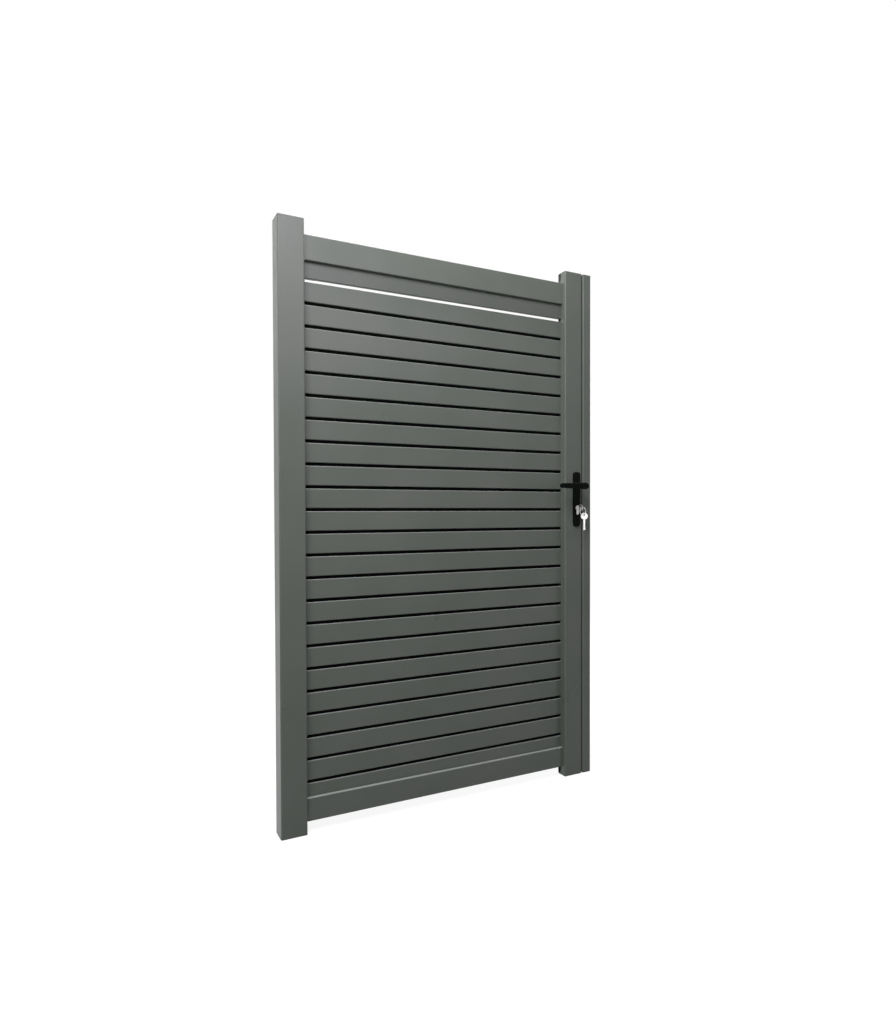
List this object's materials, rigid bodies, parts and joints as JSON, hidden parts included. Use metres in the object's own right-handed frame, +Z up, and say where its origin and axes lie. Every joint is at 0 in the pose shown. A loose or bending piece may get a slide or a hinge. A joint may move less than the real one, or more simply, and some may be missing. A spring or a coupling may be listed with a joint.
{
  "type": "slat gate",
  "caption": "Pedestrian gate with a leaf of horizontal metal slats that swings on a hinge post, with a lever handle on a long plate and a lock with keys.",
  "frame": {"origin": "centre of the hinge post's outer face, the flat face that is fixed to a wall or a larger post", "axes": "+X along the gate from the hinge side to the lock side, +Y to the back, +Z up"},
  "size_m": [1.14, 0.1627, 1.8],
  "materials": {
    "powder_coat": "matt powder coat",
    "caps": "matt powder coat",
    "black_strip": "matt",
    "black_hardware": "satin black",
    "steel": "brushed",
    "cylinder": "satin nickel",
    "nickel": "nickel plated"
  },
  "bodies": {
    "post": {"hinge_post": "powder_coat", "hinge_post_caps": "caps", "post_hinges": "steel", "hinge_pins": "steel"},
    "leaf": {"lock_stile": "powder_coat", "lock_stile_caps": "caps", "closing_strip": "powder_coat", "closing_strip_caps": "caps", "top_rail": "powder_coat", "bottom_rail": "powder_coat", "top_slat": "powder_coat", "bottom_slat": "powder_coat", "slat_01": "powder_coat", "slat_02": "powder_coat", "slat_03": "powder_coat", "slat_04": "powder_coat", "slat_05": "powder_coat", "slat_06": "powder_coat", "slat_07": "powder_coat", "slat_08": "powder_coat", "slat_09": "powder_coat", "slat_10": "powder_coat", "slat_11": "powder_coat", "slat_12": "powder_coat", "slat_13": "powder_coat", "slat_14": "powder_coat", "slat_15": "powder_coat", "slat_16": "powder_coat", "slat_17": "powder_coat", "slat_18": "powder_coat", "slat_19": "powder_coat", "slat_20": "powder_coat", "slat_21": "powder_coat", "slat_22": "powder_coat", "gap_strips": "black_strip", "hinge_batten": "powder_coat", "leaf_hinges": "steel", "lock_case": "steel", "lock_faceplate": "steel", "latch_bolt": "steel", "dead_bolt": "steel", "front_lock_plate": "black_hardware", "back_lock_plate": "black_hardware", "lock_cylinder": "cylinder"},
    "lever": {"front_lever": "black_hardware", "back_lever": "black_hardware", "spindle": "steel"},
    "key": {"lock_plug": "cylinder", "key": "nickel", "key_ring": "nickel", "spare_key": "nickel"}
  },
  "joints": [
    {"name": "gate_swing", "type": "hinge", "parent": "post", "child": "leaf", "pos_m": [0.085, 0.026, 0], "axis": [0, 0, 1], "range_deg": [0, 95]},
    {"name": "lever_turn", "type": "hinge", "parent": "leaf", "child": "lever", "pos_m": [1.063, 0, 0.139], "axis": [0, -1, 0], "range_deg": [0, 45], "stiffness_Nm_per_rad": 1.2, "springref_deg": -28.65},
    {"name": "key_turn", "type": "hinge", "parent": "leaf", "child": "key", "pos_m": [1.063, 0, 0.062], "axis": [0, 1, 0], "range_deg": [0, 90]}
  ]
}
